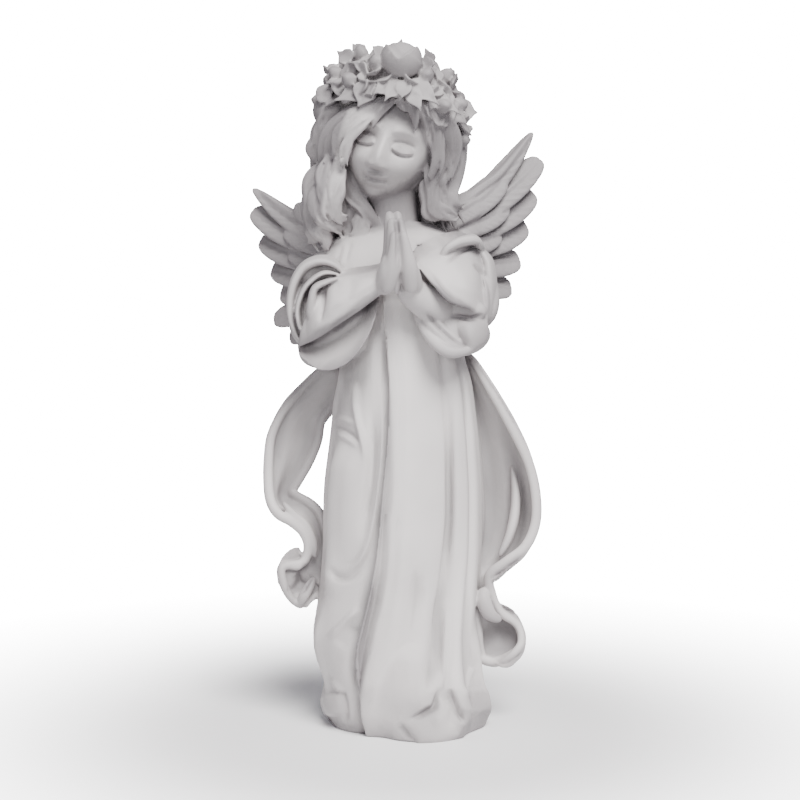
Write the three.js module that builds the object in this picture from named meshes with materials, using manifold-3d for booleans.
// A praying child angel for a grave or a garden, cast in one piece: a robed figure with closed
// eyes, a wreath of roses, two raised wings and two loose ends of a sash that swing beside the robe.
// Millimetres, +Z up, the figure faces -Y, and the origin is the middle of the flat underside.
import * as THREE from "three";
import { mergeVertices } from "three/addons/utils/BufferGeometryUtils.js";
import Module from "manifold-3d";

const wasm = await Module();
wasm.setup();

// Driving dimensions, in millimetres
const statueHeight = 400;
const sashThickness = 7;
const featherThickness = 6.5;
const footRim = 3;
const sleeveHollowDepth = 13;
const roseRadius = 10.2;
const frontRoseRadius = 13;

// The figure's pose and carving are shares of its height, counted in 400ths
const unit = statueHeight / 400;
const at = (x, y, z) => new THREE.Vector3(x, y, z).multiplyScalar(unit);
const share = (value) => value * unit;
const clamp = THREE.MathUtils.clamp;
const smooth = (from, to, value) => {
  const f = THREE.MathUtils.clamp((value - from) / (to - from), 0, 1);
  return f * f * (3 - 2 * f);
};
const bump = (distance, width) => Math.exp(-((distance / width) ** 2));
const direction = (x, y, z) => new THREE.Vector3(x, y, z).normalize();

// Moves every vertex of a closed geometry with place and returns the solid that it makes
function moulded(geometry, place) {
  const bare = geometry.clone();
  const positions = bare.getAttribute("position");
  const point = new THREE.Vector3();
  for (let i = 0; i < positions.count; i++) {
    const placed = place(point.fromBufferAttribute(positions, i).clone());
    positions.setXYZ(i, placed.x, placed.y, placed.z);
  }
  bare.deleteAttribute("normal");
  bare.deleteAttribute("uv");
  const merged = mergeVertices(bare, 1e-3);
  const triVerts = new Uint32Array(merged.index.array);
  const vertProperties = merged.attributes.position.array;
  if (signedVolume(vertProperties, triVerts) < 0) {
    for (let i = 0; i < triVerts.length; i += 3) {
      [triVerts[i + 1], triVerts[i + 2]] = [triVerts[i + 2], triVerts[i + 1]];
    }
  }
  return new wasm.Manifold(new wasm.Mesh({ numProp: 3, vertProperties, triVerts }));
}

function signedVolume(positions, triangles) {
  const corner = (i) => new THREE.Vector3().fromArray(positions, 3 * triangles[i]);
  let sum = 0;
  for (let i = 0; i < triangles.length; i += 3) {
    sum += corner(i).dot(corner(i + 1).cross(corner(i + 2)));
  }
  return sum / 6;
}

const joined = (solids) => solids.reduce((whole, solid) => whole.add(solid));

// A smooth curve through points given in 400ths
const curveThrough = (points) =>
  new THREE.CatmullRomCurve3(points.map((p) => at(...p)), false, "centripetal");

// Smooth value at place s (0 to 1) of a row of evenly spaced values
function along(values, s) {
  const last = values.length - 1;
  const i = clamp(Math.floor(s * last), 0, last - 1);
  const f = s * last - i;
  const pick = (k) => values[clamp(k, 0, last)];
  const [a, b, c, d] = [pick(i - 1), pick(i), pick(i + 1), pick(i + 2)];
  return b + 0.5 * f * (c - a + f * (2 * a - 5 * b + 4 * c - d + f * (3 * (b - c) + d - a)));
}

// A round-ended bar along a curve, with its rings closer together at the two ends. halfSize gives
// its half width and half height at s, in mm; side is the direction of the width, or a function
// of s that gives it, and cup bows the bar's cross-section
function swept(curve, side, around, rows, halfSize, cup = () => 0) {
  return moulded(new THREE.SphereGeometry(1, around, rows), (v) => {
    const s = clamp((1 - v.y) / 2, 0, 1);
    const angle = Math.atan2(v.z, v.x);
    const tangent = curve.getTangent(s);
    const wanted = typeof side === "function" ? side(s) : side;
    const across = wanted.clone().addScaledVector(tangent, -wanted.dot(tangent)).normalize();
    const out = new THREE.Vector3().crossVectors(tangent, across);
    const ending = s < 1e-6 || s > 1 - 1e-6 ? 0 : 1;
    const [width, height] = halfSize(s).map((size) => size * ending);
    const reach = Math.cos(angle);
    return curve
      .getPoint(s)
      .addScaledVector(across, width * reach)
      .addScaledVector(out, height * Math.sin(angle) + ending * cup(s) * (1 - reach * reach));
  });
}

// 1 along most of a bar, falling to 0 in a round end at each side
const roundEnds = (s, fullness = 6) => Math.sqrt(1 - Math.abs(2 * s - 1) ** fullness);

// A ball with three half sizes along three directions
function ellipsoid(centre, sizes, axes, around = 16, rows = 10) {
  return moulded(new THREE.SphereGeometry(1, around, rows), (v) =>
    centre
      .clone()
      .addScaledVector(axes[0], v.x * sizes[0])
      .addScaledVector(axes[1], v.z * sizes[1])
      .addScaledVector(axes[2], v.y * sizes[2]),
  );
}

const [X, Y, Z] = [direction(1, 0, 0), direction(0, 1, 0), direction(0, 0, 1)];

// Robe and chest: outline rows of height, left, right, front and back reach
const robeRows = [
  [0, 46, 46, 42, 40],
  [6, 49, 48.5, 45, 43],
  [14, 48.5, 48, 44, 43],
  [26, 44, 43, 40, 40],
  [40, 50, 41.5, 38.5, 40],
  [53, 52, 41, 37.5, 40],
  [78, 48, 42, 36.5, 39],
  [105, 45.5, 44, 36, 38],
  [140, 45, 44, 35, 36],
  [172, 41, 41.5, 33, 34],
  [200, 38, 38, 31, 32],
  [226, 38, 33, 29, 31],
  [250, 44, 36, 27, 30],
  [266, 49, 41, 26, 30],
  [277, 50, 42, 23, 28],
  [286, 42, 33, 18, 25],
  [292, 30, 20, 14, 20],
  [295, 18, 8, 10, 16],
];

// The robe's columns lean from one angle at the hem to another at the chest, in degrees
const columnLean = [
  { hem: -180, chest: -172 },
  { hem: -150, chest: -140 },
  { hem: -131, chest: -103 },
  { hem: -90, chest: -86 },
  { hem: -62, chest: -57 },
  { hem: -30, chest: -24 },
  { hem: 0, chest: 4 },
  { hem: 180, chest: 188 },
];

// A fold is a ridge (or, with a negative size, a furrow) down a column of the cloth: the angle of
// its foot, the heights between which it shows, its size and its half width in degrees
const robeFolds = [
  { foot: -129, low: -20, high: 262, size: 5.5, width: 8 },
  { foot: -141, low: 20, high: 240, size: -5.5, width: 6 },
  { foot: -147, low: 60, high: 225, size: 2.5, width: 5 },
  { foot: -160, low: 92, high: 172, size: 5.5, width: 13 },
  { foot: -170, low: 24, high: 78, size: 3.5, width: 10 },
  { foot: -97, low: -20, high: 262, size: 3.5, width: 20 },
  { foot: -74, low: 12, high: 60, size: -2.5, width: 7 },
  { foot: -61, low: 14, high: 225, size: -4.0, width: 8 },
  { foot: -46, low: -20, high: 215, size: 3.5, width: 8 },
  { foot: -31, low: 8, high: 190, size: -3.0, width: 8 },
  { foot: -8, low: -20, high: 60, size: 3.5, width: 11 },
  { foot: 25, low: -20, high: 210, size: 3.0, width: 10 },
  { foot: 48, low: 12, high: 225, size: -3.0, width: 9 },
  { foot: 70, low: -20, high: 215, size: 3.5, width: 9 },
  { foot: 92, low: 12, high: 235, size: -3.0, width: 9 },
  { foot: 114, low: -20, high: 215, size: 3.5, width: 9 },
  { foot: 137, low: 12, high: 215, size: -3.0, width: 9 },
  { foot: 158, low: -20, high: 205, size: 3.0, width: 10 },
];

const turnBetween = (a, b) => ((a - b + 540) % 360) - 180;

// The angle at a height of the column that stands at an angle at the hem
function columnAngle(hemAngle, height) {
  const next = columnLean.findIndex((lean) => lean.hem >= hemAngle - 1e-9) || 1;
  const [low, high] = [columnLean[next - 1], columnLean[next]];
  const share = (hemAngle - low.hem) / (high.hem - low.hem);
  const chest = THREE.MathUtils.lerp(low.chest, high.chest, share);
  return THREE.MathUtils.lerp(chest, hemAngle, clamp(1 - height / 220, 0, 1) ** 2.2);
}

function robeRelief(hemAngle, height) {
  return robeFolds.reduce((sum, fold) => {
    const shown =
      smooth(fold.low - 12, fold.low + 6, height) * (1 - smooth(fold.high - 26, fold.high, height));
    return sum + fold.size * shown * bump(turnBetween(hemAngle, fold.foot), fold.width);
  }, 0);
}

function robe() {
  const around = 42;
  const rings = 15;
  const top = robeRows.at(-1)[0];
  const cylinder = new THREE.CylinderGeometry(1, 1, 1, around, rings);
  return moulded(cylinder, (v) => {
    const height = top * (v.y + 0.5) ** 1.15;
    const radius = Math.hypot(v.x, v.z);
    const even = THREE.MathUtils.radToDeg(Math.atan2(v.z, v.x));
    const hemAngle = even - 14 * Math.sin(THREE.MathUtils.degToRad(2 * even));
    const angle = THREE.MathUtils.degToRad(columnAngle(clamp(hemAngle, -180, 180), height));
    const [, left, right, front, back] = robeAt(height);
    const relief = robeRelief(hemAngle, height) * radius;
    const wide = (right + left) / 2 + relief;
    const deep = (Math.sin(angle) < 0 ? front : back) + relief;
    return new THREE.Vector3(
      share((right - left) / 2 + Math.cos(angle) * wide * radius),
      share(Math.sin(angle) * deep * radius),
      height * unit < footRim / 2 ? 0 : height * unit,
    );
  });
}

// The outline row at a height, between the rows on either side of it
function robeAt(height) {
  const above = Math.max(1, robeRows.findIndex((row) => row[0] >= height));
  const low = robeRows[above - 1];
  const high = robeRows[above];
  const f = smooth(low[0], high[0], height) * 0.5 + 0.5 * clamp((height - low[0]) / (high[0] - low[0]), 0, 1);
  return low.map((value, i) => THREE.MathUtils.lerp(value, high[i], f));
}

// The foot is a low upright rim under the hem, so the statue stands on a flat face
function foot() {
  const outline = new THREE.CylinderGeometry(1, 1, 1, 26, 1);
  return moulded(outline, (v) => {
    const radius = Math.hypot(v.x, v.z);
    const angle = Math.atan2(v.z, v.x);
    return new THREE.Vector3(
      share(46 * Math.cos(angle) * radius),
      share(42 * Math.sin(angle) * radius),
      (v.y + 0.5) * footRim,
    );
  });
}

// Arms: a full sleeve from shoulder to wrist that hangs open under the forearm
const arms = [
  {
    path: [[-30, 3, 274], [-42, 0, 267], [-50, -7, 250], [-51, -15, 237], [-42, -26, 237], [-29, -37, 246], [-19, -44, 253]],
    reach: [9, 16, 18, 18, 16, 12, 9],
    elbow: [-53, -18, 232],
    wrist: [-13, -48, 256],
    bagCentre: [-37, -27, 231],
    bagSizes: [30, 17, 20],
    hollowShift: [1, -12, -3],
    hem: direction(0.83, -0.3, 0.42),
    rims: [
      { size: 5.5, points: [[-22, -17, 266], [-36, -17, 270], [-51, -16, 266], [-61, -15, 252], [-61, -15, 234], [-54, -18, 222]] },
      { size: 4.5, points: [[-27, -23, 264], [-41, -24, 262], [-52, -23, 251], [-54, -24, 237], [-49, -27, 226]] },
    ],
  },
  {
    path: [[18, 3, 280], [30, 1, 274], [38, -6, 259], [39, -15, 244], [32, -27, 243], [20, -38, 249], [11, -45, 254]],
    reach: [9, 15, 16, 16, 15, 12, 9],
    elbow: [40, -18, 237],
    wrist: [5, -48, 256],
    bagCentre: [27, -27, 236],
    bagSizes: [26, 16, 19],
    hollowShift: [-2, -12, -4],
    hem: direction(-0.76, -0.3, 0.58),
    rims: [
      { size: 5.5, points: [[14, -17, 268], [24, -16, 277], [37, -14, 277], [46, -12, 264], [47, -12, 248], [43, -16, 235]] },
      { size: 4.5, points: [[12, -32, 268], [20, -34, 259], [32, -32, 249], [42, -26, 240]] },
    ],
  },
];

function arm(pose) {
  const sleeve = swept(curveThrough(pose.path), Y, 10, 8, (s) => {
    const size = share(along(pose.reach, s)) * roundEnds(s);
    return [size, size];
  });
  const down = new THREE.Vector3().crossVectors(pose.hem, Y).normalize();
  const depth = new THREE.Vector3().crossVectors(down, pose.hem).normalize();
  const axes = [pose.hem, depth, down];
  const bagSizes = pose.bagSizes.map(share);
  const bag = ellipsoid(at(...pose.bagCentre), bagSizes, axes, 14, 8);
  const hollowSizes = [bagSizes[0] * 0.86, sleeveHollowDepth, bagSizes[2] * 0.72];
  const hollowCentre = at(...pose.bagCentre).add(at(...pose.hollowShift));
  const hollow = ellipsoid(hollowCentre, hollowSizes, axes, 12, 6);
  const forearmLine = new THREE.LineCurve3(at(...pose.elbow), at(...pose.wrist));
  const forearm = swept(forearmLine, Y, 8, 4, (s) => {
    const size = share(THREE.MathUtils.lerp(10, 7, s)) * roundEnds(s, 8);
    return [size, size];
  });
  const rims = pose.rims.map(({ size, points }) =>
    swept(curveThrough(points), Y, 5, 6, (s) => [share(size) * roundEnds(s, 4), share(size) * roundEnds(s, 4)]),
  );
  return joined([sleeve.add(bag).subtract(hollow), forearm, ...rims]);
}

// Hands pressed palm to palm in front of the chest
function hand(side) {
  const path = curveThrough([
    [side * 9 - 3, -44, 250],
    [side * 6 - 3.5, -50, 260],
    [side * 4.2 - 4.5, -54, 273],
    [side * 3.4 - 5.2, -55, 286],
    [side * 2.4 - 6, -54, 298],
  ]);
  return swept(path, Y, 8, 7, (s) => [
    share(along([7, 10, 10.5, 8.5, 5], s)) * roundEnds(s, 10),
    share(along([6.5, 6.5, 5.6, 4.8, 3.2], s)) * roundEnds(s, 10),
  ]);
}

// Head: built upright round its own centre, then tilted and set on the neck
const headHeight = share(78);
const headPlace = new THREE.Matrix4().compose(
  at(-8, -3, 342),
  new THREE.Quaternion().setFromEuler(new THREE.Euler(0.1, 0.29, -0.08, "YXZ")),
  new THREE.Vector3(headHeight / 78, headHeight / 78, headHeight / 78),
);
const onHead = (x, y, z) => new THREE.Vector3(x, y, z).applyMatrix4(headPlace);

// How far the face stands forward of a plain egg at a place across and up it
function faceRelief(x, z) {
  const mirrored = Math.abs(x);
  const spot = (cx, cz, wide, high) => bump(mirrored - cx, wide) * bump(z - cz, high);
  const nose = 7 * bump(x, 4.4) * smooth(5, -11, z) * smooth(-18, -13, z);
  return (
    nose -
    3.4 * spot(12, -2, 8, 6) +
    2.4 * spot(12.5, -3, 5.5, 4) +
    1.2 * spot(12, 8, 9, 4) +
    2 * spot(16, -15, 9, 9) +
    2.4 * bump(x, 7.5) * bump(z + 21.6, 2.2) +
    2.8 * bump(x, 6) * bump(z + 26.4, 2.4) +
    2.8 * bump(x, 7) * bump(z + 34, 4.5)
  );
}

function head() {
  return moulded(new THREE.SphereGeometry(1, 22, 16), (ball) => {
    const row = Math.acos(clamp(ball.y, -1, 1)) / Math.PI;
    const polar = Math.PI * (row < 0.25 ? row * 1.68 : row < 0.8 ? 0.42 + (row - 0.25) * 0.727 : 0.82 + (row - 0.8) * 0.9);
    const level = Math.sin(polar) / Math.max(1e-9, Math.sin(Math.PI * row));
    const v = new THREE.Vector3(ball.x * level, Math.cos(polar), ball.z * level);
    const angle = Math.atan2(v.z, v.x);
    const turned = angle - 0.55 * Math.sin(angle + Math.PI / 2);
    const flat = Math.hypot(v.x, v.z);
    const x = Math.cos(turned) * flat;
    const y = Math.sin(turned) * flat;
    const jaw = 1 - 0.24 * smooth(0.1, -1, v.y) ** 1.2;
    const wide = 29.5 * x * jaw;
    const high = 39 * v.y;
    const deep = 33 * y * (y < 0 ? 1 - 0.12 * smooth(-0.2, -1, v.y) : 1);
    const facing = smooth(0.25, 0.75, -y);
    return onHead(wide, deep - faceRelief(wide, high) * facing, high);
  });
}

function neck() {
  const line = new THREE.LineCurve3(at(-5, 3, 276), at(-9, 0, 322));
  return swept(line, Y, 10, 3, (s) => [share(15) * roundEnds(s, 8), share(15) * roundEnds(s, 8)]);
}

// Hair: a cap over the skull and locks that fall from the parting and the crown
function hairCap() {
  return moulded(new THREE.SphereGeometry(1, 14, 9), (v) => {
    const ripple = 1 + 0.03 * Math.sin(9 * Math.atan2(v.z, v.x) + 4 * v.y);
    return onHead(34 * v.x * ripple, 6 + 35 * v.z * ripple, 4.5 + 39 * v.y);
  });
}

const frontLocks = [
  { width: 10, points: [[-2, -27, 374], [-17, -31, 367], [-32, -26, 355], [-42, -17, 341], [-40, -11, 326]] },
  { width: 10, points: [[-36, -8, 356], [-45, -6, 340], [-43, -6, 324], [-40, -8, 308]] },
  { width: 12, points: [[-38, -10, 322], [-40, -12, 310], [-46, -10, 298], [-45, -10, 286], [-34, -12, 278]] },
  { width: 10, points: [[-36, -16, 318], [-32, -21, 305], [-36, -21, 292], [-32, -19, 281]] },
  { width: 11, points: [[-38, 6, 326], [-47, 4, 308], [-48, 4, 290], [-38, 4, 276]] },
  { width: 9.5, points: [[2, -28, 375], [13, -29, 367], [23, -23, 353], [28, -15, 338], [25, -10, 324]] },
  { width: 9.5, points: [[22, -10, 346], [25, -8, 328], [22, -6, 311], [27, -4, 298], [37, -3, 291]] },
  { width: 10, points: [[26, 4, 340], [24, 6, 320], [23, 8, 302], [30, 10, 288]] },
];

const mane = { width: 34, points: [[-6, 14, 352], [-7, 24, 325], [-8, 27, 298], [-8, 28, 274]] };

function maneOfHair() {
  return swept(curveThrough(mane.points), X, 12, 6, (s) => [
    share(mane.width * along([1, 1.08, 1, 0.86], s)) * roundEnds(s, 8),
    share(along([20, 15, 12, 9], s)) * roundEnds(s, 8),
  ]);
}

const backLockCount = 5;

function backLock(index) {
  const x = THREE.MathUtils.lerp(-38, 26, index / (backLockCount - 1));
  const wave = index % 2 ? 4 : -4;
  return {
    width: 8.5,
    sides: 5,
    points: [
      [x * 0.6 - 3, 24, 362],
      [x * 0.9, 34, 338],
      [x + wave, 36, 314],
      [x - wave * 0.6, 37, 290],
      [x * 0.9 + wave * 0.5, 35, 266 - (index % 2) * 6],
    ],
  };
}

function lock({ width, points, sides = 6 }) {
  return swept(curveThrough(points), Y, sides, 6, (s) => {
    const taper = along([0.7, 1, 1.05, 0.9, 0.5], s) * roundEnds(s, 5);
    return [share(width * 0.8) * taper, share(width) * taper];
  });
}

// Wreath: two staggered rows of roses and a fringe of leaves on a ring that is high in front
const wreathCentre = at(-6, 1, 361);
const wreathUp = direction(0.22, 0.5, 0.84);
const wreathSide = new THREE.Vector3().crossVectors(Y, wreathUp).normalize();
const wreathDeep = new THREE.Vector3().crossVectors(wreathUp, wreathSide).normalize();
const wreathHalf = share(35);
const rosesInRow = 8;

function onWreath(angle, outward, upward) {
  const out = wreathSide.clone().multiplyScalar(Math.cos(angle)).addScaledVector(wreathDeep, Math.sin(angle));
  const centre = wreathCentre
    .clone()
    .addScaledVector(out, wreathHalf + outward)
    .addScaledVector(wreathUp, upward);
  return { centre, out };
}

// A rose is a shallow cup of petals round a raised heart: rows of half width and height
const roseRows = [[0, 0.62], [0.42, 0.86], [1, 0.3], [0.85, -0.6], [0, -1.7]];

function rose(centre, out, radius, around) {
  const across = new THREE.Vector3().crossVectors(wreathUp, out).normalize();
  const up = new THREE.Vector3().crossVectors(out, across).normalize();
  return moulded(new THREE.SphereGeometry(1, around, 4), (v) => {
    const row = Math.round((4 * Math.acos(clamp(v.y, -1, 1))) / Math.PI);
    const angle = Math.atan2(v.z, v.x) + 0.4 * row;
    const petal = row === 2 ? 1 + 0.12 * Math.cos((around / 2) * (angle - 0.8)) : 1;
    const reach = roseRows[row][0] * petal * radius;
    return centre
      .clone()
      .addScaledVector(across, Math.cos(angle) * reach)
      .addScaledVector(up, Math.sin(angle) * reach)
      .addScaledVector(out, roseRows[row][1] * radius);
  });
}

function leaf(base, tip, width) {
  const away = tip.clone().sub(wreathCentre).normalize();
  const line = new THREE.CatmullRomCurve3([
    base,
    base.clone().lerp(tip, 0.5).addScaledVector(away, share(2.5)),
    tip,
  ]);
  const side = new THREE.Vector3().crossVectors(tip.clone().sub(base), away);
  return swept(line, side.normalize(), 4, 3, (s) => [
    width * Math.sin(Math.PI * Math.min(1, s * 1.05)) ** 0.8 + 0.05,
    share(2),
  ]);
}

function wreath() {
  const solids = [];
  const step = (2 * Math.PI) / rosesInRow;
  for (let i = 0; i < rosesInRow; i++) {
    for (const row of [0, 1]) {
      const angle = -Math.PI / 2 + (i + 0.5 + row * 0.5) * step;
      const sides = Math.sin(angle) > 0.4 ? 6 : 8;
      const lift = share(row ? 5 : -8);
      const { centre, out } = onWreath(angle, share(row ? -1 : 3), lift);
      const facing = out.clone().addScaledVector(wreathUp, row ? 0.45 : -0.1).normalize();
      solids.push(rose(centre, facing, roseRadius * (i % 2 ? 0.92 : 1.06), sides));
    }
    const leafAngle = -Math.PI / 2 + i * step;
    if (Math.sin(leafAngle) > 0.4) continue;
    const base = onWreath(leafAngle, share(-8), share(-8));
    const tip = onWreath(leafAngle + 0.16 * step, share(8), share(-21));
    solids.push(leaf(base.centre, tip.centre, share(6)));
  }
  const front = onWreath(-Math.PI / 2 + 0.1, share(3), share(6));
  const facing = front.out.clone().addScaledVector(wreathUp, 0.4).normalize();
  solids.push(rose(front.centre, facing, frontRoseRadius, 10));
  return joined(solids);
}

// Wings: each feather runs from the wing's root to a tip; short feathers overlap the long ones
const wings = [
  {
    root: [-14, 27, 262],
    shoulder: [-30, 30, 284],
    tips: [[-93, 52, 318], [-96, 54, 304], [-91, 55, 287], [-86, 54, 270], [-84, 52, 253], [-84, 49, 237], [-71, 46, 226]],
  },
  {
    root: [8, 27, 268],
    shoulder: [24, 30, 296],
    tips: [[77, 50, 350], [86, 53, 336], [82, 54, 315], [78, 54, 295], [75, 53, 275], [71, 51, 257], [58, 47, 241]],
  },
];

// Where a fan of feathers ends: a rounded tip for each feather and a notch between neighbours.
// Column 3k is the notch above feather k, and the next two columns make its tip
function fanEdge(tips, base, column) {
  const index = clamp(Math.floor(column / 3), 0, tips.length - 1);
  const part = column - 3 * index;
  const towards = (k, f) => at(...tips[index]).lerp(at(...tips[clamp(k, 0, tips.length - 1)]), f);
  if (part === 1) return towards(index - 1, 0.29);
  if (part === 2) return towards(index + 1, 0.29);
  const edge = part === 0 ? towards(index - 1, 0.5) : towards(index + 1, 0.5);
  return edge.lerp(base, 0.055);
}

// Rows of feathers overlap like tiles. A fan row is its place from base (0) to tip (1), how far
// its front stands forward of the long feathers, and whether the row follows the feathers' tips
const fanRows = [
  { reach: 0, lift: 8, scalloped: 0 },
  { reach: 0.34, lift: 6.5, scalloped: 1 },
  { reach: 0.37, lift: 3.4, scalloped: 1 },
  { reach: 0.62, lift: 3.2, scalloped: 1 },
  { reach: 0.65, lift: 0, scalloped: 1 },
  { reach: 1, lift: 0, scalloped: 0 },
];

function wing({ root, shoulder, tips }) {
  const columns = 3 * tips.length;
  const box = new THREE.BoxGeometry(1, 1, 1, fanRows.length - 1, 1, columns);
  const fan = moulded(box, (corner) => {
    const row = fanRows[Math.round((corner.x + 0.5) * (fanRows.length - 1))];
    const column = Math.round((corner.z + 0.5) * columns);
    const v = column / columns;
    const base = at(...shoulder).lerp(at(...root), v);
    const edge = fanEdge(tips, base, column);
    const middle = base.clone().lerp(edge, 0.5).add(at(0, -3, -6 * (1 - v)));
    const notch = column % 3 === 0 ? 0.05 * row.scalloped : 0;
    const reach = row.reach - notch;
    const place = new THREE.QuadraticBezierCurve3(base, middle, edge).getPoint(reach);
    const tile = [-0.5, 0.5, 0.2][column % 3] * featherThickness * 0.36 * smooth(0, 0.3, reach);
    const half = (featherThickness / 2) * (1 - 0.35 * reach);
    const lift = corner.y < 0 ? share(row.lift) : 0;
    return place.addScaledVector(Y, -lift - tile + corner.y * 2 * half);
  });
  const first = tips[0];
  const middle = first.map((value, i) => (value + shoulder[i]) / 2 + [0, -3, -5][i]);
  const spine = swept(curveThrough([root, shoulder, middle, first]), Y, 6, 6, (s) => [
    share(along([8, 8, 6.5, 4, 2], s)) * roundEnds(s, 6),
    share(along([9, 9, 7, 5, 2], s)) * roundEnds(s, 6),
  ]);
  return joined([fan, spine]);
}

// Sash ends: bands of cloth that swing out from the hips, turn on themselves and end in a flare.
// A row is the middle of the band and half its width as a vector
const sashes = [
  {
    cup: 3,
    rows: [
      [-30, 20, 212, 8, 3, -6],
      [-50, 15, 196, 12, 4, -5],
      [-63, 10, 174, 15, 4, 1],
      [-68, 7, 154, 14, 6, 2],
      [-73, 3, 137, 9, 11, 2],
      [-66, 1, 125, 7, 11, 8],
      [-56, 3, 117, 5, 9, 9],
      [-51, 6, 106, 7, 8, 4],
      [-53, 6, 96, 9, 7, 3],
      [-60, 5, 87, 16, 5, 7],
      [-61, 4, 79, 14, 4, 1],
      [-59, 4, 70, 8, 3, -3],
    ],
  },
  {
    cup: -6,
    rows: [
      [30, 17, 216, 6, 4, 5],
      [42, 14, 204, 8, 6, 3],
      [50, 11, 180, 11, 6, 1],
      [56, 9, 159, 15, 5, 1],
      [60, 7, 138, 18, 4, 0],
      [61, 5, 120, 18, 6, 0],
      [58, 3, 105, 15, 9, -2],
      [49, 3, 94, 10, 9, -2],
      [46, 5, 82, 7, 8, 0],
      [50, 6, 69, 10, 8, -2],
      [55, 5, 59, 15, 6, -4],
      [56, 4, 47, 15, 5, 3],
      [52, 4, 37, 9, 4, 2],
    ],
  },
];

function sash({ rows, cup }) {
  const middle = curveThrough(rows.map((row) => row.slice(0, 3)));
  const vector = (s) => new THREE.Vector3(...[3, 4, 5].map((k) => along(rows.map((row) => row[k]), s)));
  return swept(
    middle,
    (s) => vector(s).normalize(),
    8,
    17,
    (s) => [share(vector(s).length()) * roundEnds(s, 14), (sashThickness / 2) * roundEnds(s, 14)],
    (s) => share(cup) * Math.sin(Math.PI * s),
  );
}

const assembled = joined([
  robe(),
  foot(),
  ...arms.map(arm),
  hand(-1),
  hand(1),
  neck(),
  head(),
  hairCap(),
  maneOfHair(),
  ...frontLocks.map(lock),
  ...Array.from({ length: backLockCount }, (_, i) => lock(backLock(i))),
  wreath(),
  ...wings.map(wing),
  ...sashes.map(sash),
]);

// Hidden pockets between overlapping forms are filled, so that the casting is solid all through
const statue = joined(assembled.decompose().filter((shell) => shell.volume() > 0));

// The triangles of a solid as a three.js geometry
function geometryOf(solid) {
  const { vertProperties, triVerts } = solid.getMesh();
  const geometry = new THREE.BufferGeometry();
  geometry.setAttribute("position", new THREE.BufferAttribute(vertProperties, 3));
  geometry.setIndex(new THREE.BufferAttribute(triVerts, 1));
  geometry.computeVertexNormals();
  return geometry;
}

const castStone = new THREE.MeshStandardMaterial({ color: 0xdedcda, roughness: 0.62, metalness: 0 });
const angel = new THREE.Group();
const body = new THREE.Mesh(geometryOf(statue), castStone);
body.name = "angel_statue";
angel.add(body);

export default angel;
